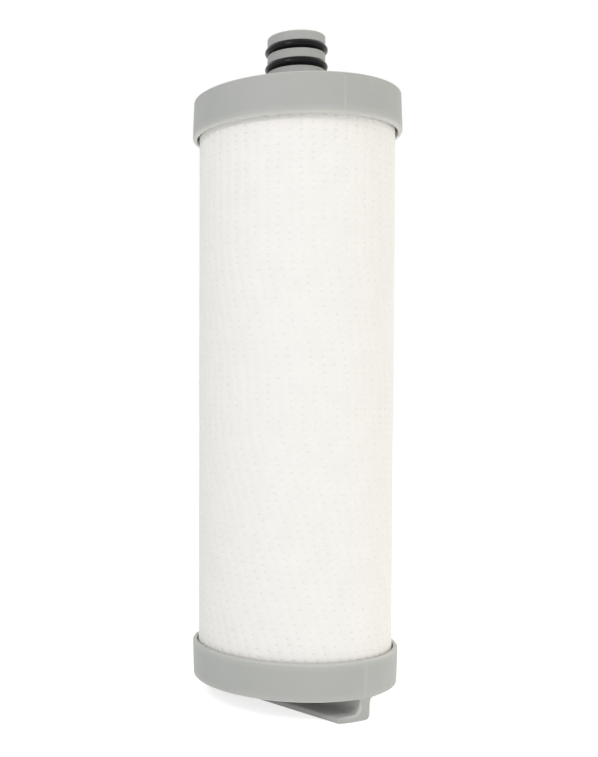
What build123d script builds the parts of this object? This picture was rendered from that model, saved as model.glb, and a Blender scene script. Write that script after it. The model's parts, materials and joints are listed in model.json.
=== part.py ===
from build123d import *
import math
import os

# Sediment filter cartridge, upright. The origin is on the cartridge's axis, on the top cap's
# seat face, with +Z up along the outlet spigot and X along the pull grip under the bottom cap.
# Sizes are in millimetres.
os.makedirs("parts", exist_ok=True)

# Body
cap_to_cap = 190.6              # seat face of the top cap to the underside of the bottom cap
wrap_diameter = 63.5            # over the ridges of the fabric
wrap_thickness = 0.6
ridge_count = 56                # lengthwise ridges of the fabric, between its columns of pinholes
ridge_height = 0.1
wrap_clearance = 0.1            # fabric to filter medium
core_diameter = 30.0
core_wall = 1.5
core_clearance = 0.1            # filter medium to core tube
window_columns = 4              # drain windows round the core tube, in opposite pairs
window_width = 7.0
window_height = 48.0
window_pitch = 56.0
core_end_band = 8.0             # least plain band at each end of the core tube

# Both end caps
cap_floor = 2.5

# Top cap with its outlet spigot
top_depth = 12.55
top_clearance = 0.8             # fabric to skirt
top_wall = 0.95                 # skirt at the seat face
top_flare = 0.5                 # how much thicker the leaning skirt is at its rim
top_edge_chamfer = 0.7
spigot_diameter = 18.8
spigot_bore = 11.0
lower_land = 9.05               # seat face to the lower ring groove
middle_land = 2.8
top_land = 3.05
spigot_chamfer = 0.6

# Sealing rings
ring_section = 2.5
ring_flats = 8                  # flats that stand for a ring's round section
ring_proud = 0.8                # how far a ring stands out of the spigot
ring_side_clearance = 0.125
ring_seat_clearance = 0.02

# Bottom cap with its pull grip
bottom_depth = 11.8
bottom_clearance = 0.45         # fabric to skirt
bottom_wall = 1.4
bottom_edge_chamfer = 0.8
grip_gap = 4.5                  # finger gap between the cap's underside and the bar
bar_thickness = 2.4
bar_reach = 7.45                # bar's edge to the web
web_thickness = 4.15
web_offset = 1.85               # web's back face to the cartridge's axis
web_back_round = 1.5            # web's back into the cap's underside
web_front_round = 0.6           # web's front into the cap's underside
web_foot_round = 2.4            # inside corner of web and bar
bar_back_round = 1.75           # outside corner of web and bar
bar_edge_round = 0.4

# Sizes that follow
wrap_radius = wrap_diameter / 2
wrap_inner_radius = wrap_radius - wrap_thickness
media_radius = wrap_inner_radius - wrap_clearance
core_radius = core_diameter / 2
core_inner_radius = core_radius - core_wall
media_inner_radius = core_radius + core_clearance
body_length = cap_to_cap - 2 * cap_floor
body_bottom = -cap_floor - body_length
body_middle = -cap_to_cap / 2
top_skirt_radius = wrap_radius + top_clearance
top_radius = top_skirt_radius + top_wall
top_rim_radius = top_radius + top_flare
bottom_skirt_radius = wrap_radius + bottom_clearance
bottom_radius = bottom_skirt_radius + bottom_wall
spigot_radius = spigot_diameter / 2
bore_radius = spigot_bore / 2
groove_width = ring_section + 2 * ring_side_clearance
spigot_height = lower_land + groove_width + middle_land + groove_width + top_land
lower_ring_height = lower_land + groove_width / 2
upper_ring_height = lower_ring_height + groove_width + middle_land
ring_radius = spigot_radius + ring_proud - ring_section / 2
groove_radius = ring_radius - ring_section / 2 - ring_seat_clearance
grip_depth = grip_gap + bar_thickness

# A cap's own section plane has its outer face at height 0 and its skirt below
top_section = Plane.XZ
bottom_section = Plane(origin=(0, 0, -cap_to_cap), x_dir=(1, 0, 0), z_dir=(0, 1, 0))


def cup_outline(outer_radius, rim_radius, skirt_radius, depth):
    """Half section of a cap's floor and skirt, whose outside runs from the outer radius to the rim's."""
    return [
        (0, 0),
        (outer_radius, 0),
        (rim_radius, -depth),
        (skirt_radius, -depth),
        (skirt_radius, -cap_floor),
        (0, -cap_floor),
    ]


def ring_profile():
    """Section of a sealing ring, with a flat against its groove floor."""
    RegularPolygon(ring_section / 2, ring_flats, major_radius=False, rotation=180 / ring_flats)


def circle_at(part, height, radius):
    """Round edge of a part at one height and of one radius."""
    edges = part.edges().filter_by(GeomType.CIRCLE)
    edges = edges.filter_by(lambda edge: math.isclose(edge.arc_center.Z, height, abs_tol=1e-4))
    return edges.filter_by(lambda edge: math.isclose(edge.radius, radius, abs_tol=1e-4))


def finish(builder, name):
    """Name a finished piece and write its file."""
    builder.part.label = name
    export_step(builder.part, f"parts/{name}.step")


# Top cap: floor, leaning skirt and outlet spigot, moulded in one
with BuildPart() as top_end_cap:
    with BuildSketch(top_section):
        with BuildLine():
            outline = cup_outline(top_radius, top_rim_radius, top_skirt_radius, top_depth)
            Polyline(*outline, close=True)
        make_face()
        Rectangle(spigot_radius, spigot_height, align=(Align.MIN, Align.MIN))
        with Locations((spigot_radius, lower_ring_height), (spigot_radius, upper_ring_height)):
            Rectangle(2 * (spigot_radius - groove_radius), groove_width, mode=Mode.SUBTRACT)
        with Locations((0, -cap_floor)):
            Rectangle(
                bore_radius, cap_floor + spigot_height, align=(Align.MIN, Align.MIN), mode=Mode.SUBTRACT
            )
    revolve(axis=Axis.Z)
    chamfer(circle_at(top_end_cap, spigot_height, spigot_radius), spigot_chamfer)
    chamfer(circle_at(top_end_cap, 0, top_radius), top_edge_chamfer)
finish(top_end_cap, "top_end_cap")

# Sealing rings, seated on their groove floors
with BuildPart() as upper_o_ring:
    with BuildSketch(Plane.XZ):
        with Locations((ring_radius, upper_ring_height)):
            ring_profile()
    revolve(axis=Axis.Z)
finish(upper_o_ring, "upper_o_ring")

with BuildPart() as lower_o_ring:
    with BuildSketch(Plane.XZ):
        with Locations((ring_radius, lower_ring_height)):
            ring_profile()
    revolve(axis=Axis.Z)
finish(lower_o_ring, "lower_o_ring")

# Fabric wrap: a sleeve whose outside is a ring of shallow lengthwise ridges
with BuildPart() as outer_wrap:
    with BuildSketch(Plane.XY.offset(body_bottom)):
        with BuildLine():
            ridge_turn = 360 / ridge_count
            valley_radius = wrap_radius - ridge_height
            for ridge in range(ridge_count):
                ThreePointArc(
                    Vector(valley_radius, 0).rotate(Axis.Z, ridge * ridge_turn),
                    Vector(wrap_radius, 0).rotate(Axis.Z, (ridge + 0.5) * ridge_turn),
                    Vector(valley_radius, 0).rotate(Axis.Z, (ridge + 1) * ridge_turn),
                )
        make_face()
        Circle(wrap_inner_radius, mode=Mode.SUBTRACT)
    extrude(amount=body_length)
finish(outer_wrap, "outer_wrap")

# Filter medium: a thick blown-fibre tube
with BuildPart() as filter_media:
    with BuildSketch(Plane.XY.offset(body_bottom)):
        Circle(media_radius)
        Circle(media_inner_radius, mode=Mode.SUBTRACT)
    extrude(amount=body_length)
finish(filter_media, "filter_media")

# Core tube: a drain tube with rows of windows, each cut taking an opposite pair
with BuildPart() as core_tube:
    with BuildSketch(Plane.XY.offset(body_bottom)):
        Circle(core_radius)
        Circle(core_inner_radius, mode=Mode.SUBTRACT)
    extrude(amount=body_length)
    window_rows = int((body_length - 2 * core_end_band - window_height) // window_pitch) + 1
    for pair in range(window_columns // 2):
        turn = math.radians(360 / window_columns * pair)
        across = Plane(
            origin=(0, 0, body_middle),
            x_dir=(math.cos(turn), math.sin(turn), 0),
            z_dir=(math.sin(turn), -math.cos(turn), 0),
        )
        with BuildSketch(across):
            with GridLocations(0, window_pitch, 1, window_rows):
                Rectangle(window_width, window_height)
        extrude(amount=core_radius, both=True, mode=Mode.SUBTRACT)
finish(core_tube, "core_tube")

# Pull grip: an angle section, web and bar, run straight across the cap's underside and
# trimmed flush with the cap's side at both ends
underside = -cap_to_cap
grip_bottom = underside - grip_depth
web_back = -web_offset
web_front = web_back - web_thickness
bar_edge = web_front - bar_reach
grip_root = cap_floor / 2       # how far the section reaches up into the cap's floor

with BuildPart() as pull_grip:
    with BuildSketch(Plane.YZ) as grip_section:
        with BuildLine():
            Polyline(
                (web_back + 2 * web_back_round, underside + grip_root),
                (web_back + 2 * web_back_round, underside),
                (web_back, underside),
                (web_back, grip_bottom),
                (bar_edge, grip_bottom),
                (bar_edge, grip_bottom + bar_thickness),
                (web_front, grip_bottom + bar_thickness),
                (web_front, underside),
                (web_front - 2 * web_front_round, underside),
                (web_front - 2 * web_front_round, underside + grip_root),
                close=True,
            )
        make_face()
        for corner_y, corner_z, corner_round in (
            (web_back, underside, web_back_round),
            (web_back, grip_bottom, bar_back_round),
            (bar_edge, grip_bottom, bar_edge_round),
            (bar_edge, grip_bottom + bar_thickness, bar_edge_round),
            (web_front, grip_bottom + bar_thickness, web_foot_round),
            (web_front, underside, web_front_round),
        ):
            corner = grip_section.vertices().sort_by_distance((corner_y, corner_z, 0))[0]
            fillet(corner, corner_round)
    extrude(amount=bottom_radius, both=True)
    with BuildSketch(Plane.XY.offset(grip_bottom)):
        Circle(bottom_radius)
    extrude(amount=grip_depth + grip_root, mode=Mode.INTERSECT)

# Bottom cap: floor, skirt and pull grip, moulded in one
with BuildPart() as bottom_end_cap:
    with BuildSketch(bottom_section):
        with BuildLine():
            outline = cup_outline(bottom_radius, bottom_radius, bottom_skirt_radius, bottom_depth)
            Polyline(*outline, close=True)
        make_face()
    revolve(axis=Axis.Z)
    chamfer(circle_at(bottom_end_cap, underside, bottom_radius), bottom_edge_chamfer)
    add(pull_grip.part)
finish(bottom_end_cap, "bottom_end_cap")
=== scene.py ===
import json
import math

import bmesh
import bpy
import numpy as np
from mathutils import Matrix, Vector


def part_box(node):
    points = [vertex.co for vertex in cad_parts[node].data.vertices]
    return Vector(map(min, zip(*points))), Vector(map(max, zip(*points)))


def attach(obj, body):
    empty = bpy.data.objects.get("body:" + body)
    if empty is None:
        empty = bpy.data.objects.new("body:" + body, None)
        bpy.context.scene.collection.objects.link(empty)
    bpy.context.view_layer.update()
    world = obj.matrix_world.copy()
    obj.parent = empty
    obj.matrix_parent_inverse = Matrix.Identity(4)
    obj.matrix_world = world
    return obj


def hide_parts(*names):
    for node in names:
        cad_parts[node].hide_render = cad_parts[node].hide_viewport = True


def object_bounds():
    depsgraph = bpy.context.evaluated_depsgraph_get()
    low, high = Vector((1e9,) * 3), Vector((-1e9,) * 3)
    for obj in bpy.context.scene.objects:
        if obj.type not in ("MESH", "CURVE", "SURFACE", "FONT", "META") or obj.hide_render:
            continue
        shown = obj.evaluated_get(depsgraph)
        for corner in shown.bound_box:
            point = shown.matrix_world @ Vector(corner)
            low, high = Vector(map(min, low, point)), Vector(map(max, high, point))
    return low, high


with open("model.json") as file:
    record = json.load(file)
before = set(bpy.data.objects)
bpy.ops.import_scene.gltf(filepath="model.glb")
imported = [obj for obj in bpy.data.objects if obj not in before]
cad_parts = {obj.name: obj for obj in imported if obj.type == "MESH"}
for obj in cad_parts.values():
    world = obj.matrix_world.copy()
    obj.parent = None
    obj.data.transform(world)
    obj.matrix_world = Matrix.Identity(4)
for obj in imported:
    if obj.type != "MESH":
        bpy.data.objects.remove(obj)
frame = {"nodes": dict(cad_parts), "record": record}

# Lengths are millimetres and angles are degrees, except where a note says metres.
# An azimuth goes round the cartridge from -Y towards +X, so a point is (r sin a, -r cos a, z).
mm = 0.001
hair = 0.01  # slack when points are picked by their place
cadBox = [list(corner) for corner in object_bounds()]  # the CAD model's own box, in metres
mounts = {mount["name"]: mount for mount in frame["record"]["mounts"]}
print("frame loaded:", ", ".join(sorted(frame["nodes"])))


def nodeBox(node):
    low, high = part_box(node)
    return np.array(low) / mm, np.array(high) / mm


topLow, topHigh = nodeBox("top_end_cap")
upperLow, upperHigh = nodeBox("upper_o_ring")
lowerLow, lowerHigh = nodeBox("lower_o_ring")
wrapLow, wrapHigh = nodeBox("outer_wrap")
bottomLow, bottomHigh = nodeBox("bottom_end_cap")


# Shapes

def roundedOutline(corners, closed, steps):
    # Each sharp corner (across, up, round) becomes an arc that touches both its sides. A plain point stands
    # a margin before and after each arc, so that flat sides stay flat in the shading. The material is on
    # the left of the outline. The second result is 1 on the crown of each convex edge and 0 on flat sides.
    margin = 0.25
    corners = np.array(corners, float)
    place, radius = corners[:, :2], corners[:, 2:3]
    leave = np.roll(place, -1, axis=0) - place
    leaveLength = np.linalg.norm(leave, axis=1, keepdims=True)
    leave = leave / leaveLength
    arrive = np.roll(leave, 1, axis=0)
    cross = arrive[:, :1] * leave[:, 1:] - arrive[:, 1:] * leave[:, :1]
    turn = np.arctan2(cross, (arrive * leave).sum(axis=1, keepdims=True))
    reach = radius * np.tan(np.abs(turn) / 2)
    inward = np.sign(turn) * np.stack([-arrive[:, 1], arrive[:, 0]], axis=1)
    centre = place - arrive * reach + inward * radius
    swing = np.linspace(0, 1, steps + 1) * turn
    spoke = -inward * radius
    arcs = centre[:, None] + np.stack([
        spoke[:, :1] * np.cos(swing) - spoke[:, 1:] * np.sin(swing),
        spoke[:, :1] * np.sin(swing) + spoke[:, 1:] * np.cos(swing)], axis=-1)
    padAfter = np.minimum(margin, (leaveLength - reach - np.roll(reach, -1, axis=0)) / 3)
    padBefore = np.roll(padAfter, 1, axis=0)
    before = place - arrive * (reach + padBefore)
    after = place + leave * (reach + padAfter)
    points = np.concatenate([before[:, None], arcs, after[:, None]], axis=1)
    bulge = np.where(turn > 0, np.sin(np.pi * np.linspace(0, 1, steps + 1)), 0)
    flat = np.zeros_like(turn)
    edge = np.concatenate([flat, bulge, flat], axis=1)
    if closed:
        return points.reshape(-1, 2), edge.reshape(-1)
    points = np.concatenate([place[:1], points[1:-1].reshape(-1, 2), place[-1:]])
    return points, np.concatenate([[0], edge[1:-1].reshape(-1), [0]])


def spacedAlong(line, count):
    # The same line with its points at equal shares of its length.
    along = np.concatenate([[0], np.cumsum(np.linalg.norm(np.diff(line, axis=0), axis=1))])
    at = np.linspace(0, along[-1], count)
    return np.stack([np.interp(at, along, line[:, axis]) for axis in range(2)], axis=1)


def finerOutline(values, step):
    # Extra points between neighbours that stand over a step apart; the first two columns are the places.
    ahead = values[1:] - values[:-1]
    count = np.maximum(1, np.ceil(np.linalg.norm(ahead[:, :2], axis=1) / step)).astype(int)
    start = np.repeat(np.arange(len(count)), count)
    share = (np.arange(len(start)) - np.repeat(np.cumsum(count) - count, count)) / np.repeat(count, count)
    return np.concatenate([values[start] + ahead[start] * share[:, None], values[-1:]])


def roundAngles(count, finePlaces, fineWidth):
    # Even steps round the circle, with a few finer ones at the places where a split line runs.
    even = np.arange(count) * 2 * np.pi / count
    offsets = np.array([-3, -2, -1.3, -0.7, 0, 0.7, 1.3, 2, 3])  # in widths of the split line
    fine = np.radians(finePlaces)[:, None] + fineWidth * offsets
    return np.unique(np.round(np.mod(np.concatenate([even, fine.reshape(-1)]), 2 * np.pi), 7))


def splitBell(azimuth, radius, places, width):
    # Bell-shaped section, 1 at its crown, of the low ridge that a mould's halves leave at each place.
    away = np.mod(azimuth[None, :, None] - np.radians(places) + np.pi, 2 * np.pi) - np.pi
    return np.exp(-(away * radius[..., None] / width) ** 2).sum(axis=-1)


def goRound(radius, azimuth, height):
    # Points of a surface of turning: x = r sin a, y = -r cos a, z as given.
    x, y = radius * np.sin(azimuth), -radius * np.cos(azimuth)
    return np.stack(np.broadcast_arrays(x, y, height), axis=-1)


def cellCorners(grid):
    # The four corners of every cell of a grid, in order round the cell.
    return grid[:-1, :-1], grid[:-1, 1:], grid[1:, 1:], grid[1:, :-1]


def makePiece(name, patches, material, node):
    # A patch is a grid of points whose cells are quads; a closed side joins its last line to its first.
    mergeDistance = 2e-7  # metres
    pointList, quadList, edgeList, uvList = [], [], [], []
    first = 0
    for patch in patches:
        points = patch["points"]
        rows, columns = points.shape[:2]
        index = first + np.arange(rows * columns).reshape(rows, columns)
        if patch.get("closeRows"):
            index = np.concatenate([index, index[:1]])
        if patch.get("closeColumns"):
            index = np.concatenate([index, index[:, :1]], axis=1)
        pointList.append(points.reshape(-1, 3))
        quadList.append(np.stack(cellCorners(index), axis=-1).reshape(-1, 4))
        edgeList.append(np.broadcast_to(patch.get("edge", 0.0), (rows, columns)).reshape(-1))
        if "uv" in patch:
            uvList.append(np.stack(cellCorners(patch["uv"]), axis=-2).reshape(-1, 2))
        first += rows * columns
    mesh = bpy.data.meshes.new(name)
    mesh.from_pydata(np.concatenate(pointList) * mm, [], np.concatenate(quadList))
    mesh.attributes.new("edge", "FLOAT", "POINT").data.foreach_set("value", np.concatenate(edgeList))
    if uvList:
        mesh.uv_layers.new(name="lattice").data.foreach_set("uv", np.concatenate(uvList).reshape(-1))
    work = bmesh.new()
    work.from_mesh(mesh)
    bmesh.ops.remove_doubles(work, verts=work.verts, dist=mergeDistance)  # closes poles and patch borders
    bmesh.ops.recalc_face_normals(work, faces=work.faces)
    work.to_mesh(mesh)
    work.free()
    mesh.polygons.foreach_set("use_smooth", np.ones(len(mesh.polygons), bool))
    mesh.materials.append(material)
    piece = bpy.data.objects.new(name, mesh)
    bpy.context.scene.collection.objects.link(piece)
    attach(piece, "root")
    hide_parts(node)
    print("built", name, len(mesh.polygons), "faces")
    return piece


# Materials; the depths of bumps are metres

def addNode(tree, kind, values=None, **settings):
    # A value that is another node's socket is linked, and any other is set.
    node = tree.nodes.new(kind)
    for key, value in settings.items():
        setattr(node, key, value)
    for socket, value in (values or {}).items():
        if isinstance(value, bpy.types.NodeSocket):
            tree.links.new(value, node.inputs[socket])
        else:
            node.inputs[socket].default_value = value
    return node


def calculate(tree, operation, first, second):
    return addNode(tree, "ShaderNodeMath", {0: first, 1: second}, operation=operation).outputs[0]


def calculateVector(tree, operation, first, second=(0, 0, 0)):
    return addNode(tree, "ShaderNodeVectorMath", {0: first, 1: second}, operation=operation).outputs


def spreadTo(tree, value, source, target, smooth=False):
    # The value's place between the two source values, carried over to the two target values.
    values = {"Value": value, "From Min": source[0], "From Max": source[1],
              "To Min": target[0], "To Max": target[1]}
    kind = "SMOOTHSTEP" if smooth else "LINEAR"
    return addNode(tree, "ShaderNodeMapRange", values, interpolation_type=kind).outputs["Result"]


def mixColours(tree, factor, first, second, blend="MIX"):
    values = {0: factor, 6: first, 7: second}
    return addNode(tree, "ShaderNodeMix", values, data_type="RGBA", blend_type=blend).outputs[2]


def shadeBy(tree, colour, tone):
    return mixColours(tree, 1.0, colour, tone, "MULTIPLY")


def newGroup(name, inputs, outputs):
    tree = bpy.data.node_groups.new(name, "ShaderNodeTree")
    for socketName in inputs:
        tree.interface.new_socket(socketName, in_out="INPUT", socket_type="NodeSocketFloat")
    for socketName in outputs:
        tree.interface.new_socket(socketName, in_out="OUTPUT", socket_type="NodeSocketFloat")
    return tree, addNode(tree, "NodeGroupInput").outputs, addNode(tree, "NodeGroupOutput").inputs


def useGroup(tree, group, finish):
    # Each input of the group takes the finish's value of the same name.
    node = addNode(tree, "ShaderNodeGroup", node_tree=group)
    for socket in node.inputs:
        socket.default_value = finish[socket.name]
    return node.outputs


def newMaterial(name):
    material = bpy.data.materials.new(name)
    material.use_nodes = True
    tree = material.node_tree
    return material, tree, tree.nodes["Principled BSDF"]


def joinSurface(tree, shader, colour, roughness, height, finish):
    values = {"Height": height, "Strength": finish["bumpStrength"], "Distance": finish["bumpDepth"]}
    bump = addNode(tree, "ShaderNodeBump", values)
    tree.links.new(colour, shader.inputs["Base Color"])
    tree.links.new(roughness, shader.inputs["Roughness"])
    tree.links.new(bump.outputs["Normal"], shader.inputs["Normal"])


# Moulded grain: slow clouds from the melt's flow, a fine grain from the mould, and patchy gloss
mouldedGrain = {
    "cloudDetail": 4.0, "cloudRoughness": 0.55, "grainDetail": 2.0, "grainRoughness": 0.6,
    "toneFrom": (0.3, 0.7), "toneTo": (0.965, 1.03), "glossFrom": (0.25, 0.75), "glossTo": (-0.06, 0.06),
}


def makeGrainGroup(look):
    scales, outputs = ["cloudScale", "grainScale"], ["tone", "gloss", "height"]
    tree, given, results = newGroup("mouldedGrain", scales, outputs)
    place = addNode(tree, "ShaderNodeTexCoord").outputs["Object"]
    clouds = addNode(tree, "ShaderNodeTexNoise", {
        "Vector": place, "Scale": given["cloudScale"],
        "Detail": look["cloudDetail"], "Roughness": look["cloudRoughness"]}).outputs["Fac"]
    grain = addNode(tree, "ShaderNodeTexNoise", {
        "Vector": place, "Scale": given["grainScale"],
        "Detail": look["grainDetail"], "Roughness": look["grainRoughness"]}).outputs["Fac"]
    tree.links.new(spreadTo(tree, clouds, look["toneFrom"], look["toneTo"]), results["tone"])
    tree.links.new(spreadTo(tree, clouds, look["glossFrom"], look["glossTo"]), results["gloss"])
    tree.links.new(grain, results["height"])
    return tree


# Matted fibre: swirling strands, and a tone that follows them and how thick they lie
mattedFibre = {
    "strandDetail": 6.0, "strandRoughness": 0.68, "strandSwirl": 2.2,
    "thicknessScale": 140.0, "thicknessDetail": 3.0,
    "toneFrom": (0.3, 0.7), "strandTone": (0.975, 1.015), "thicknessTone": (0.985, 1.01),
}


def makeFibreGroup(look):
    tree, given, results = newGroup("mattedFibre", ["strandScale"], ["tone", "height"])
    place = addNode(tree, "ShaderNodeTexCoord").outputs["Object"]
    strands = addNode(tree, "ShaderNodeTexNoise", {
        "Vector": place, "Scale": given["strandScale"], "Detail": look["strandDetail"],
        "Roughness": look["strandRoughness"], "Distortion": look["strandSwirl"]}).outputs["Fac"]
    thickness = addNode(tree, "ShaderNodeTexNoise", {
        "Vector": place, "Scale": look["thicknessScale"],
        "Detail": look["thicknessDetail"]}).outputs["Fac"]
    strandTone = spreadTo(tree, strands, look["toneFrom"], look["strandTone"])
    thicknessTone = spreadTo(tree, thickness, look["toneFrom"], look["thicknessTone"])
    tree.links.new(calculate(tree, "MULTIPLY", strandTone, thicknessTone), results["tone"])
    tree.links.new(strands, results["height"])
    return tree


grainGroup = makeGrainGroup(mouldedGrain)
fibreGroup = makeFibreGroup(mattedFibre)

capFinish = {
    "grey": (0.445, 0.448, 0.435, 1), "wearAndPaintedLightGrey": (0.66, 0.65, 0.62, 1),
    "wearAndPaintedLightStrength": 0.6,                   # how far worn crowns, and the painted highlights and light on lips, feet, split lines and the cap's inside, go from the grey to the paler grey
    "cloudScale": 55.0, "grainScale": 3800.0, "bumpStrength": 0.25, "bumpDepth": 0.00005,
    "roughness": 0.5, "specular": 0.16,
}


def makeCapPlastic(finish):
    material, tree, shader = newMaterial("capPlastic")
    grain = useGroup(tree, grainGroup, finish)
    # The edge attribute holds worn crowns and painted light: highlights on the lips, the foot, the split
    # lines and the grip's mouth, and light on the top cap's inside.
    wearAndPaintedLightMask = addNode(tree, "ShaderNodeAttribute", attribute_name="edge").outputs["Fac"]
    wearAndPaintedLightStrength = calculate(tree, "MULTIPLY", grain["tone"], finish["wearAndPaintedLightStrength"])
    wearAndPaintedLightMix = calculate(tree, "MULTIPLY", wearAndPaintedLightMask, wearAndPaintedLightStrength)
    colour = shadeBy(tree, mixColours(tree, wearAndPaintedLightMix, finish["grey"], finish["wearAndPaintedLightGrey"]), grain["tone"])
    roughness = calculate(tree, "ADD", grain["gloss"], finish["roughness"])
    joinSurface(tree, shader, colour, roughness, grain["height"], finish)
    shader.inputs["Specular IOR Level"].default_value = finish["specular"]
    return material


sealFinish = {
    "black": (0.0018, 0.0018, 0.0024, 1), "dusty": (0.006, 0.006, 0.0065, 1),
    "dustFrom": (0.99, 1.03), "dustTo": (0.0, 0.5),
    "cloudScale": 420.0, "grainScale": 5200.0, "bumpStrength": 0.2, "bumpDepth": 0.00004,
    "roughness": 0.22, "specular": 0.18,
}


def makeSealRubber(finish):
    material, tree, shader = newMaterial("sealRubber")
    grain = useGroup(tree, grainGroup, finish)
    dustMask = spreadTo(tree, grain["tone"], finish["dustFrom"], finish["dustTo"])
    colour = mixColours(tree, dustMask, finish["black"], finish["dusty"])
    roughness = calculate(tree, "ADD", grain["gloss"], finish["roughness"])
    joinSurface(tree, shader, colour, roughness, grain["height"], finish)
    shader.inputs["Specular IOR Level"].default_value = finish["specular"]
    return material


coreFinish = {
    "white": (0.8, 0.8, 0.78, 1), "roughness": 0.45,
    "cloudScale": 80.0, "grainScale": 3000.0, "bumpStrength": 0.25, "bumpDepth": 0.00005,
}


def makeCorePlastic(finish):
    material, tree, shader = newMaterial("corePlastic")
    grain = useGroup(tree, grainGroup, finish)
    colour = shadeBy(tree, finish["white"], grain["tone"])
    roughness = calculate(tree, "ADD", grain["gloss"], finish["roughness"])
    joinSurface(tree, shader, colour, roughness, grain["height"], finish)
    return material


blownFinish = {
    "white": (0.86, 0.85, 0.82, 1), "roughnessFrom": (0.2, 0.8), "roughnessTo": (0.95, 0.85),
    "strandScale": 650.0, "bumpStrength": 0.9, "bumpDepth": 0.0004,
}


def makeBlownFibre(finish):
    material, tree, shader = newMaterial("blownFibre")
    fibre = useGroup(tree, fibreGroup, finish)
    colour = shadeBy(tree, finish["white"], fibre["tone"])
    roughness = spreadTo(tree, fibre["height"], finish["roughnessFrom"], finish["roughnessTo"])
    joinSurface(tree, shader, colour, roughness, fibre["height"], finish)
    return material


wrapFinish = {
    # pinShade is the painted shade in a pinhole's pit
    "white": (0.905, 0.88, 0.86, 1), "pinShade": (0.765, 0.74, 0.715, 1),
    "pinHalf": (0.17, 0.125),        # half-width and half-height of a pinhole, as shares of its cell
    "pinFade": (0.3, 1.3),           # where its shade begins to fade and where it ends, in those halves
    "pinJitter": 0.16,               # how far a pinhole strays in its cell
    "pinFaintest": 0.3,              # share of the full shade that the faintest pinhole has
    "pinFarFromCaps": 0.6,           # share that a pinhole keeps far from the caps' rims
    "strandScale": 1100.0, "strandHeight": 0.35, "bumpStrength": 0.5, "bumpDepth": 0.00015,
    "roughnessFrom": (0.2, 0.8), "roughnessTo": (0.95, 0.82),
    "specular": 0.15, "sheen": 0.22, "sheenRoughness": 0.45,
}


def makeWrapFabric(finish):
    # Each cell of the lattice has one pinhole, a soft oval that strays from the cell's middle, with painted
    # shade in its pit.
    material, tree, shader = newMaterial("wrapFabric")
    lattice = addNode(tree, "ShaderNodeUVMap", uv_map="lattice").outputs["UV"]
    cell = calculateVector(tree, "FLOOR", lattice)["Vector"]
    inCell = calculateVector(tree, "FRACTION", lattice)["Vector"]
    chance = addNode(tree, "ShaderNodeTexWhiteNoise", {"Vector": cell}, noise_dimensions="3D").outputs
    fromMiddle = calculateVector(tree, "SUBTRACT", inCell, (0.5, 0.5, 0))["Vector"]
    stray = calculateVector(tree, "SUBTRACT", chance["Color"], (0.5, 0.5, 0.5))["Vector"]
    jitter = (finish["pinJitter"], finish["pinJitter"], 0)
    stray = calculateVector(tree, "MULTIPLY", stray, jitter)["Vector"]
    fromPin = calculateVector(tree, "ADD", fromMiddle, stray)["Vector"]
    stretch = (1 / finish["pinHalf"][0], 1 / finish["pinHalf"][1], 0)
    fromPin = calculateVector(tree, "MULTIPLY", fromPin, stretch)["Vector"]
    pinDistance = calculateVector(tree, "LENGTH", fromPin)["Value"]
    pinMask = spreadTo(tree, pinDistance, finish["pinFade"], (1, 0), smooth=True)
    ownShade = spreadTo(tree, chance["Value"], (0, 1), (finish["pinFaintest"], 1))
    pinMask = calculate(tree, "MULTIPLY", pinMask, ownShade)
    nearCap = addNode(tree, "ShaderNodeAttribute", attribute_name="edge").outputs["Fac"]
    capShade = spreadTo(tree, nearCap, (0, 1), (finish["pinFarFromCaps"], 1))
    pinMask = calculate(tree, "MULTIPLY", pinMask, capShade)
    fibre = useGroup(tree, fibreGroup, finish)
    # The pinhole mask paints shade into the pits, more near the caps.
    colour = shadeBy(tree, mixColours(tree, pinMask, finish["white"], finish["pinShade"]), fibre["tone"])
    roughness = spreadTo(tree, fibre["height"], finish["roughnessFrom"], finish["roughnessTo"])
    strands = calculate(tree, "MULTIPLY", fibre["height"], finish["strandHeight"])
    height = calculate(tree, "SUBTRACT", strands, pinMask)
    joinSurface(tree, shader, colour, roughness, height, finish)
    shader.inputs["Specular IOR Level"].default_value = finish["specular"]
    shader.inputs["Sheen Weight"].default_value = finish["sheen"]
    shader.inputs["Sheen Roughness"].default_value = finish["sheenRoughness"]
    return material


capPlastic = makeCapPlastic(capFinish)
sealRubber = makeSealRubber(sealFinish)
corePlastic = makeCorePlastic(coreFinish)
blownFibre = makeBlownFibre(blownFinish)
wrapFabric = makeWrapFabric(wrapFinish)

# The two inner pieces keep their solids
for nodeName, material in (("filter_media", blownFibre), ("core_tube", corePlastic)):
    slots = frame["nodes"][nodeName].data.materials
    slots.clear()
    slots.append(material)
print("materials ready:", ", ".join(material.name for material in bpy.data.materials))


# Top cap: floor, leaning skirt and outlet spigot in one outline, spun round the axis

topCap = {
    "lean": 0.5, "skirtGap": 0.8,            # skirt's lean from seat face to rim, and its gap to the fabric
    "edgeRound": 0.45, "rimRound": 1.0, "rimInnerRound": 0.25, "insideRound": 0.4,
    "footRound": 0.5, "spigotRound": 0.45, "mouthRound": 0.5, "boreRound": 0.2,
    "grooveSideGap": 0.125, "grooveDepth": 1.72, "grooveRound": 0.25, "landRound": 0.12,
    "paintedLipLightHeight": 1.8, "paintedInsideLightShare": 0.8,       # height of the painted light on the lip, and how strongly light is painted on the cap's inside
    "splitAzimuths": (67.5, 247.5), "splitHeight": 0.09, "splitWidth": 0.22,
    "paintedSplitHighlight": 0.7,                        # how strongly a highlight is painted on the split line at the rim
    "paintedSplitHighlightAbove": 0.3,                   # share of that painted highlight from the seat face up
    "splitStop": 0.1,                        # how far under the spigot's top the split line stops
    "columns": 240, "rowStep": 2.0, "arcSteps": 6,
}


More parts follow.
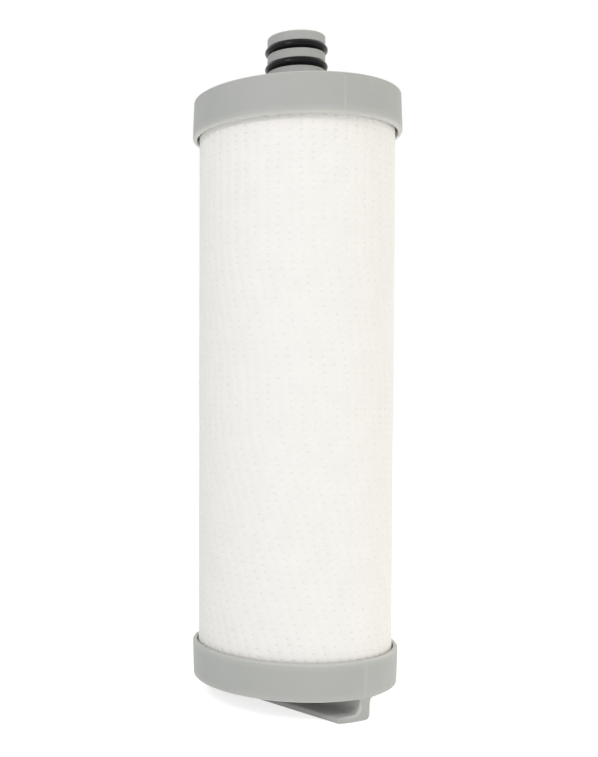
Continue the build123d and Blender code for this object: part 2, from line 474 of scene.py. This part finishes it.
def buildTopCap(size):
    # A closed outline of radius and height, spun round the axis. Its outside gains the split line's height
    # times a bell of the azimuth.
    bore = mounts["outlet_bore"]["dims"]["r_mm"]
    spigot = mounts["spigot"]["dims"]["r_mm"]
    groove = spigot - size["grooveDepth"]
    floor, skirt, rim = wrapHigh[2], wrapHigh[0] + size["skirtGap"], topLow[2]
    seatEdge = topHigh[0] - size["lean"]
    corners = [
        (bore, topHigh[2], size["mouthRound"]), (bore, floor, size["boreRound"]),
        (skirt, floor, size["insideRound"]), (skirt, rim, size["rimInnerRound"]),
        (topHigh[0], rim, size["rimRound"]), (seatEdge, 0, size["edgeRound"]),
        (spigot, 0, size["footRound"])]
    for ringLow, ringHigh in ((lowerLow, lowerHigh), (upperLow, upperHigh)):
        low, high = ringLow[2] - size["grooveSideGap"], ringHigh[2] + size["grooveSideGap"]
        corners += [(spigot, low, size["landRound"]), (groove, low, size["grooveRound"]),
                    (groove, high, size["grooveRound"]), (spigot, high, size["landRound"])]
    corners.append((spigot, topHigh[2], size["spigotRound"]))
    outline, edge = roundedOutline(corners, closed=True, steps=size["arcSteps"])
    outline = np.concatenate([outline, edge[:, None]], axis=1)
    outline = finerOutline(np.concatenate([outline, outline[:1]]), size["rowStep"])[:-1]
    across, up, edge = outline[:, :1], outline[:, 1:2], outline[:, 2:]
    azimuth = roundAngles(size["columns"], size["splitAzimuths"], size["splitWidth"] / topHigh[0])
    outside = (across > spigot - hair) & (up < topHigh[2] - size["splitStop"])
    outside &= (across < spigot + hair) | (across > seatEdge - hair)
    split = outside * splitBell(azimuth, across, size["splitAzimuths"], size["splitWidth"])
    # The split line is painted paler, a painted highlight along its ridge, growing from the seat face to
    # the rim.
    nearRim = np.clip(up / rim, 0, 1)
    paintedSplitHighlight = size["paintedSplitHighlight"] * (size["paintedSplitHighlightAbove"] + (1 - size["paintedSplitHighlightAbove"]) * nearRim)
    # Painted light on the lip, a band that is palest at the rim.
    paintedLipLight = np.clip((rim + size["paintedLipLightHeight"] - up) / size["paintedLipLightHeight"], 0, 1) * (across > skirt - hair)
    # Painted light on the cap's inside: the floor's lower face and the skirt's inner face.
    paintedInsideLight = size["paintedInsideLightShare"] * (up < floor + hair) * (across < skirt + hair)
    return {"points": goRound(across + size["splitHeight"] * split, azimuth, up),
            "edge": np.maximum(np.maximum.reduce([edge, paintedLipLight, paintedInsideLight]), split * paintedSplitHighlight),
            "closeRows": True, "closeColumns": True}


makePiece("moulded_top_cap", [buildTopCap(topCap)], capPlastic, "top_end_cap")


# Sealing rings: a round section spun round the axis, with the thin flash line of its mould on the outside

sealRing = {"flashHeight": 0.006, "flashWidth": 0.12, "sectionSteps": 40, "columns": 128}


def buildSealRing(size, low, high):
    # The section is a circle: r = middle + half cos s, z = middle + half sin s. The flash line is a low
    # bell on it where s is 0.
    half, middle = (high[2] - low[2]) / 2, (low[2] + high[2]) / 2
    around = np.linspace(0, 2 * np.pi, size["sectionSteps"], endpoint=False)[:, None]
    azimuth = np.linspace(0, 2 * np.pi, size["columns"], endpoint=False)[None]
    bend = np.mod(around + np.pi, 2 * np.pi) - np.pi
    flash = size["flashHeight"] * np.exp(-(bend * half / size["flashWidth"]) ** 2)
    section = half - size["flashHeight"] + flash
    radius, height = high[0] - half + section * np.cos(around), middle + section * np.sin(around)
    return {"points": goRound(radius, azimuth, height), "closeRows": True, "closeColumns": True}


for place, low, high in (("upper", upperLow, upperHigh), ("lower", lowerLow, lowerHigh)):
    ring = buildSealRing(sealRing, low, high)
    makePiece(place + "_seal_ring", [ring], sealRubber, place + "_o_ring")


# Fabric wrap: one sheet round the filter body, puckered by columns and rows of pinholes

wrapSheet = {
    "columns": 56, "rowPitch": 2.21,         # pinholes round the wrap, and the pitch of their rows
    "firstAzimuth": 42.0, "thickness": 0.6, "ridgeHeight": 0.12, "pinDepth": 0.12, "pinReach": 0.15,
    "capShade": 9.0,                         # how far from a cap's rim the pinholes' painted shade stays strong
    "twist": 2.15, "twistFrom": 0.2, "twistTo": 0.5,   # first stretch where the columns lean, in columns
    "lean": 15.3, "leanFrom": 0.58, "leanSoft": 0.03,  # steady lean below that, in columns per length
    "rowTilt": 0.36,                         # rows that the lattice sinks from left to right
    "tiltFade": 0.03,                        # share of the length at each end where that fades out
    "slack": 0.02, "slackRound": 3, "slackSlant": 9, "slackDown": 7, "slackSway": 2,  # slow unevenness
    "columnOffsets": (-0.25, -0.07, 0.07, 0.25, 0.5), "rowOffsets": (-0.28, -0.08, 0.08, 0.28),
}


def buildWrap(size):
    # Lattice places (u, v) count columns and rows. Going down, the columns lean first in an S-shaped step
    # and then steadily, and the rows tilt with the sine of the azimuth. The surface is
    # r = outer - ridge (1 - 2|du|)^2 - pin depth times a bell round each pinhole - slow slack waves.
    length = wrapHigh[2] - wrapLow[2]
    rows = int(round(length / size["rowPitch"]))
    u = (np.arange(size["columns"])[:, None] + 0.5 + np.array(size["columnOffsets"])).reshape(-1)
    v = (np.arange(rows)[:, None] + 0.5 + np.array(size["rowOffsets"])).reshape(-1)
    v = np.concatenate([[0], v, [rows]])
    du, dv = u % 1 - 0.5, v % 1 - 0.5
    share = v[:, None] / rows
    shown = bottomHigh[2] - topLow[2]
    seen = (wrapHigh[2] - share * length - topLow[2]) / shown  # 0 at the top cap's rim, 1 at the bottom's
    step = np.clip((seen - size["twistFrom"]) / (size["twistTo"] - size["twistFrom"]), 0, 1)
    past = seen - size["leanFrom"]
    drift = size["twist"] * step * step * (3 - 2 * step)
    drift = drift + size["lean"] * (past + np.sqrt(past ** 2 + size["leanSoft"] ** 2)) / 2
    azimuth = np.radians(size["firstAzimuth"]) + 2 * np.pi * (u[None] + drift) / size["columns"]
    tilt = size["rowTilt"] * np.sin(azimuth - np.radians(size["firstAzimuth"]))
    tilt = tilt * np.clip(np.minimum(share, 1 - share) / size["tiltFade"], 0, 1)
    height = wrapHigh[2] - (share + tilt / rows) * length
    ridge = size["ridgeHeight"] * (1 - 2 * np.abs(du[None])) ** 2
    pin = size["pinDepth"] * np.exp(-(du[None] ** 2 + dv[:, None] ** 2) / size["pinReach"] ** 2)
    roundWave = np.sin(size["slackRound"] * azimuth + size["slackSlant"] * share)
    downWave = np.sin(size["slackDown"] * np.pi * share + size["slackSway"] * np.sin(azimuth))
    slack = size["slack"] * (1 + roundWave * downWave) / 2
    outer = goRound(wrapHigh[0] - ridge - pin - slack, azimuth, height)
    inner = goRound(wrapHigh[0] - size["thickness"], azimuth, height)[[-1, 0]]
    fromRim = np.minimum(seen, 1 - seen) * -shown
    nearCap = np.exp(-np.clip(fromRim, 0, None) / size["capShade"])
    latticeColumns = np.append(u, u[0] + size["columns"])
    latticeRows = np.append(v, [v[-1], 0, 0])
    lattice = np.stack(np.broadcast_arrays(latticeColumns[None], latticeRows[:, None]), axis=-1)
    return {"points": np.concatenate([outer, inner]), "uv": lattice,
            "edge": np.concatenate([nearCap, nearCap[[-1, 0]]]), "closeRows": True, "closeColumns": True}


wrapPiece = makePiece("fabric_wrap", [buildWrap(wrapSheet)], wrapFabric, "outer_wrap")


# Bottom cap: a plain cup spun round the axis, and the angle-section pull grip run straight across under it

bottomCap = {
    "skirtGap": 0.45, "draft": 0.3,          # gap to the fabric, and the wall's lean from rim to foot
    "edgeRound": 0.55, "edgeRoundAtGrip": 0.25, "rimRound": 0.7, "rimInnerRound": 0.12, "insideRound": 0.4,
    "gripReach": 5.5, "gripFade": 2.5,       # how far from the web's middle it changes the wall's foot
    "plainAtGrip": 0.7,                      # share of the edge's paleness that is lost there
    # painted highlights: a band on the lip, and a band up the wall from the foot with its share
    "paintedLipLightHeight": 1.3, "paintedFootHighlightHeight": 2.4, "paintedFootHighlightShare": 0.35,
    "wallBand": 0.7,                         # depth inside the cap's radius that counts as its wall
    # the last value paints the split line paler, a painted highlight along its ridge
    "splitAzimuths": (83.0, 277.0), "splitHeight": 0.06, "splitWidth": 0.6, "paintedSplitHighlight": 0.3,
    "splitStop": 0.5,                        # how far under the rim the split line stops
    "columns": 240, "rowStep": 2.0, "arcSteps": 10,
}
pullGrip = {
    "gap": 4.5, "barThickness": 2.4, "barReach": 7.45, "webThickness": 4.15, "webOffset": 1.85,
    "barDraft": 0.5,                         # how much the bar thins to its edge
    "webBackRound": 1.5, "webFrontRound": 0.6, "webFootRound": 2.4,
    "barBackRound": 1.75, "barEdgeRound": 0.55,
    "rootRound": 0.25, "backRound": 0.5, "mouthRound": 0.9, "tipRound": 0.9,  # rounds of the end's edges
    "mouthNarrowing": 0.7,                   # share of the mouth's round that is left before the tip
    "roundKnots": (0, 0.16, 0.3, 0.86, 0.94, 1),  # shares of the section's lines where those rounds change
    "wearAndPaintedHighlightKnots": (0, 0.3, 0.6, 0.9), "wearAndPaintedHighlight": (0.3, 1, 1, 0.1),  # wear and a painted highlight on the end's rounds: palest round the mouth, plain at the tip
    "rootSink": 0.04, "endSink": 0.012,      # how far the root and the ends stand inside the cap's faces
    "sectionPoints": 110, "endSteps": 7, "faceSteps": 8, "arcSteps": 12,
}
underside = bottomLow[2] + pullGrip["gap"] + pullGrip["barThickness"]
webBack = -pullGrip["webOffset"]
webFront = webBack - pullGrip["webThickness"]
barEdge = webFront - pullGrip["barReach"]


def buildBottomCup(size):
    # Two outlines of radius and height, with a rounder and a sharper foot, are mixed by how near the
    # azimuth is to the web's ends, and spun round the axis. The wall gains the split line's height times
    # a bell of the azimuth.
    outer, skirt, floor, rim = bottomHigh[0], wrapHigh[0] + size["skirtGap"], wrapLow[2], bottomHigh[2]
    lines = []
    for edgeRound in (size["edgeRound"], size["edgeRoundAtGrip"]):
        corners = [
            (0, underside, 0), (outer - size["draft"], underside, edgeRound),
            (outer, rim, size["rimRound"]), (skirt, rim, size["rimInnerRound"]),
            (skirt, floor, size["insideRound"]), (0, floor, 0)]
        line, edge = roundedOutline(corners, closed=False, steps=size["arcSteps"])
        lines += [line, edge[:, None]]
    lines = finerOutline(np.concatenate(lines, axis=1), size["rowStep"])  # radius, height, edge of each
    azimuth = roundAngles(size["columns"], size["splitAzimuths"], size["splitWidth"] / outer)
    fromWeb = np.abs(-outer * np.cos(azimuth) - (webBack + webFront) / 2)
    atGrip = np.clip((size["gripReach"] - fromWeb) / size["gripFade"], 0, 1)
    atGrip = (atGrip * atGrip * (3 - 2 * atGrip))[None]
    radius = lines[:, 0:1] * (1 - atGrip) + lines[:, 3:4] * atGrip
    height = lines[:, 1:2] * (1 - atGrip) + lines[:, 4:5] * atGrip
    edge = lines[:, 2:3] * (1 - size["plainAtGrip"] * atGrip)
    wall = radius > outer - size["wallBand"]
    # Painted highlight on the lip, a band that is palest at the rim.
    paintedLipLight = np.clip((height - rim + size["paintedLipLightHeight"]) / size["paintedLipLightHeight"], 0, 1) * (radius > skirt - hair)
    # Painted highlight up the wall from the foot, palest at the underside.
    paintedFootHighlight = np.clip((underside + size["paintedFootHighlightHeight"] - height) / size["paintedFootHighlightHeight"], 0, 1)
    paintedFootHighlight = size["paintedFootHighlightShare"] * paintedFootHighlight * wall
    # A low ridge on the wall along each split line, which is also painted paler: a painted highlight.
    split = splitBell(azimuth, radius, size["splitAzimuths"], size["splitWidth"])
    split = wall * (height < rim - size["splitStop"]) * split
    return {"points": goRound(radius + size["splitHeight"] * split, azimuth, height),
            "edge": np.maximum.reduce([edge, paintedLipLight, paintedFootHighlight, size["paintedSplitHighlight"] * split]), "closeColumns": True}


def buildGrip(size):
    # The section is a ribbon between a back line (web's back, then bar's underside) and a front line
    # (web's front, then bar's top), which meet in the middle of the bar's edge. It runs along X to the
    # cap's own cylinder, x = sqrt(R^2 - y^2), and near each end a quarter turn rounds it over: inwards by
    # e (1 - cos t) while x stops e (1 - sin t) short of the cylinder. Each end face is ruled between the
    # two lines.
    bottom, top = bottomLow[2], underside + size["rootSink"]
    barTop = bottom + size["barThickness"]
    barMiddle = bottom + (size["barThickness"] - size["barDraft"]) / 2
    backCorners = [
        (webBack + 2 * size["webBackRound"], top, 0), (webBack, top, size["webBackRound"]),
        (webBack, bottom, size["barBackRound"]), (barEdge, bottom, size["barEdgeRound"]),
        (barEdge, barMiddle, 0)]
    frontCorners = [
        (webFront - 2 * size["webFrontRound"], top, 0), (webFront, top, size["webFrontRound"]),
        (webFront, barTop, size["webFootRound"]),
        (barEdge, barTop - size["barDraft"], size["barEdgeRound"]), (barEdge, barMiddle, 0)]
    count = size["sectionPoints"]
    back = spacedAlong(roundedOutline(backCorners, closed=False, steps=size["arcSteps"])[0], count)
    front = spacedAlong(roundedOutline(frontCorners, closed=False, steps=size["arcSteps"])[0], count)
    loop = np.concatenate([back, front[-2::-1]])
    ahead = np.roll(loop, -1, axis=0) - np.roll(loop, 1, axis=0)
    ahead[0], ahead[-1] = back[1] - back[0], front[0] - front[1]
    inward = np.stack([ahead[:, 1], -ahead[:, 0]], axis=1) / np.linalg.norm(ahead, axis=1, keepdims=True)
    share = np.linspace(0, 1, count)
    root, tip, mouth = size["rootRound"], size["tipRound"], size["mouthRound"]
    backRounds = [root, root, size["backRound"], size["backRound"], tip, tip]
    frontRounds = [root, root, mouth, mouth * size["mouthNarrowing"], tip, tip]
    backRound = np.interp(share, size["roundKnots"], backRounds)
    frontRound = np.interp(share, size["roundKnots"], frontRounds)
    edgeRound = np.concatenate([backRound, frontRound[-2::-1]])
    swing = np.linspace(0, np.pi / 2, size["endSteps"])[:, None, None]
    inset = loop[None] + inward[None] * (edgeRound[None, :, None] * (1 - np.cos(swing)))
    radius = bottomHigh[0] - bottomCap["draft"] - size["endSink"]
    short = edgeRound[None] * (1 - np.sin(swing[..., 0]))
    reach = np.sqrt(radius ** 2 - inset[..., 0] ** 2) - short
    side = np.stack([reach, inset[..., 0], inset[..., 1]], axis=-1)
    mirror = np.array([-1, 1, 1])
    along = np.concatenate([side[::-1], side * mirror])  # from the +X end face to the -X end face
    # The end's rounded edges are painted paler, wear and a painted highlight, most round the mouth.
    wearAndPaintedHighlight = np.interp(share, size["wearAndPaintedHighlightKnots"], size["wearAndPaintedHighlight"])
    crown = np.sin(np.pi * np.linspace(0, 1, size["endSteps"]))[:, None]
    edge = crown * np.concatenate([wearAndPaintedHighlight, wearAndPaintedHighlight[-2::-1]])
    edge = np.concatenate([edge[::-1], edge])
    across = np.linspace(0, 1, size["faceSteps"])[:, None, None]
    rimBack, rimFront = inset[-1, :count], inset[-1, count - 1:][::-1]
    face = rimBack[None] * (1 - across) + rimFront[None] * across
    face = np.stack([np.sqrt(radius ** 2 - face[..., 0] ** 2), face[..., 0], face[..., 1]], axis=-1)
    ribbon = {"points": along, "edge": edge, "closeColumns": True}
    return [ribbon, {"points": face}, {"points": face * mirror}]


bottomPatches = [buildBottomCup(bottomCap)] + buildGrip(pullGrip)
makePiece("moulded_bottom_cap", bottomPatches, capPlastic, "bottom_end_cap")


# Camera, light and floor

photoView = {
    "azimuth": 42.0, "distance": 357.98, "height": -96.07,  # where the camera stands, from the seat face
    "yaw": 10.05, "pitch": -1.52,                           # how it is turned from facing the axis
    "focalPixels": 1058.7, "middlePixel": (107.0, 420.0), "framePixels": (598, 757), "sensor": 36.0,
    "nearest": 0.01, "farthest": 50,                        # what the camera sees, in metres
}


def buildCamera(view):
    cameraData = bpy.data.cameras.new("photoCamera")
    camera = bpy.data.objects.new("photoCamera", cameraData)
    bpy.context.scene.collection.objects.link(camera)
    longSide = max(view["framePixels"])
    cameraData.sensor_width = view["sensor"]
    cameraData.lens = view["focalPixels"] * view["sensor"] / longSide
    cameraData.shift_x = (view["framePixels"][0] / 2 - view["middlePixel"][0]) / longSide
    cameraData.shift_y = (view["middlePixel"][1] - view["framePixels"][1] / 2) / longSide
    cameraData.clip_start = view["nearest"]
    cameraData.clip_end = view["farthest"]
    azimuth, out = math.radians(view["azimuth"]), view["distance"]
    turn = Matrix.Rotation(azimuth + math.radians(view["yaw"]), 4, "Z")
    turn = turn @ Matrix.Rotation(math.radians(view["pitch"]), 4, "X")
    place = Vector((math.sin(azimuth) * out, -math.cos(azimuth) * out, view["height"])) * mm
    camera.matrix_world = Matrix.Translation(place) @ turn @ Matrix.Rotation(math.pi / 2, 4, "X")
    bpy.context.scene.camera = camera


softbox = {
    "azimuth": -30, "elevation": 36,         # from the camera's own azimuth, and up
    "distance": 0.8, "size": 0.24,           # metres
    "watts": 1.5, "colour": (0.99, 0.94, 1.0),
}


def buildSoftbox(lamp):
    aim = Vector((0, 0, (cadBox[0][2] + cadBox[1][2]) / 2))
    lampData = bpy.data.lights.new("keySoftbox", "AREA")
    lampData.shape = "DISK"
    lampData.size = lamp["size"]
    lampData.energy = lamp["watts"]
    lampData.color = lamp["colour"]
    lampObject = bpy.data.objects.new("keySoftbox", lampData)
    bpy.context.scene.collection.objects.link(lampObject)
    around, up = math.radians(photoView["azimuth"] + lamp["azimuth"]), math.radians(lamp["elevation"])
    away = Vector((math.sin(around) * math.cos(up), -math.cos(around) * math.cos(up), math.sin(up)))
    lampObject.location = aim + away * lamp["distance"]
    lampObject.rotation_mode = "QUATERNION"
    lampObject.rotation_quaternion = away.to_track_quat("Z", "Y")


def seenPlainly(tree):
    # 1 for rays that show the background itself: straight to the camera, through glass or in a reflection.
    ray = addNode(tree, "ShaderNodeLightPath").outputs
    direct = calculate(tree, "MAXIMUM", ray["Is Camera Ray"], ray["Is Transmission Ray"])
    return calculate(tree, "MAXIMUM", direct, ray["Is Glossy Ray"])


# The sky has a low and a high band, each with a left and a right tone. Azimuths count from the camera's.
sky = {
    "strength": 0.99,
    "leftLow": (0.0, 0.03, 0.07, 1), "rightLow": (0.95, 0.89, 0.81, 1),
    "leftHigh": (0.46, 0.45, 0.26, 1), "rightHigh": (0.94, 1.0, 0.96, 1),
    "azimuthLow": -75, "spreadLow": (-0.3, 0.6),   # middle of the left tone, and the cosines it fades over
    "azimuthHigh": -135, "spreadHigh": (0.0, 0.9),
    "rise": (0.25, 0.75),                          # sines of elevation where the high band takes over
}


def buildSky(sky):
    world = bpy.data.worlds.new("studio")
    bpy.context.scene.world = world
    world.use_nodes = True
    tree = world.node_tree
    tree.nodes.clear()
    direction = addNode(tree, "ShaderNodeTexCoord").outputs["Generated"]
    bands = []
    for band in ("Low", "High"):
        leftAzimuth = math.radians(photoView["azimuth"] + sky["azimuth" + band])
        left = (math.sin(leftAzimuth), -math.cos(leftAzimuth), 0)
        facing = calculateVector(tree, "DOT_PRODUCT", direction, left)["Value"]
        facing = spreadTo(tree, facing, sky["spread" + band], (0, 1), smooth=True)
        bands.append(mixColours(tree, facing, sky["right" + band], sky["left" + band]))
    facingUp = addNode(tree, "ShaderNodeSeparateXYZ", {0: direction}).outputs["Z"]
    facingUp = spreadTo(tree, facingUp, sky["rise"], (0, 1), smooth=True)
    colour = mixColours(tree, facingUp, *bands)
    glow = addNode(tree, "ShaderNodeBackground", {"Color": colour, "Strength": sky["strength"]}).outputs[0]
    white = addNode(tree, "ShaderNodeBackground", {"Color": (1, 1, 1, 1), "Strength": 1.0}).outputs[0]
    both = addNode(tree, "ShaderNodeMixShader", {0: seenPlainly(tree), 1: glow, 2: white})
    addNode(tree, "ShaderNodeOutputWorld", {"Surface": both.outputs[0]})


floorPaper = {
    "size": 6.0,                             # metres
    "gap": 0.02,                             # a hair under the grip
    "colour": (0.82, 0.82, 0.82, 1), "roughness": 0.9, "specular": 0.1,
    "glow": 0.65,                            # makes the floor white where it is itself seen
    "tableLight": 0.38,                      # shed on the cartridge from below, as a lit table does
}


def buildFloor(paper):
    half, low = paper["size"] / 2, cadBox[0][2] - paper["gap"] * mm
    corners = [(-half, -half, low), (half, -half, low), (half, half, low), (-half, half, low)]
    floorMesh = bpy.data.meshes.new("floor")
    floorMesh.from_pydata(corners, [], [(0, 1, 2, 3)])
    floor = bpy.data.objects.new("floor", floorMesh)
    bpy.context.scene.collection.objects.link(floor)
    material, tree, shader = newMaterial("floorPaper")
    shader.inputs["Base Color"].default_value = paper["colour"]
    shader.inputs["Roughness"].default_value = paper["roughness"]
    shader.inputs["Specular IOR Level"].default_value = paper["specular"]
    strength = spreadTo(tree, seenPlainly(tree), (0, 1), (paper["tableLight"], paper["glow"]))
    glow = addNode(tree, "ShaderNodeEmission", {"Strength": strength})
    lit = addNode(tree, "ShaderNodeAddShader", {0: shader.outputs[0], 1: glow.outputs[0]})
    tree.links.new(lit.outputs[0], tree.nodes["Material Output"].inputs["Surface"])
    floorMesh.materials.append(material)


buildCamera(photoView)
buildSoftbox(softbox)
buildSky(sky)
buildFloor(floorPaper)
bpy.context.scene.view_settings.view_transform = "Standard"
print("camera, lamp, sky and floor placed")
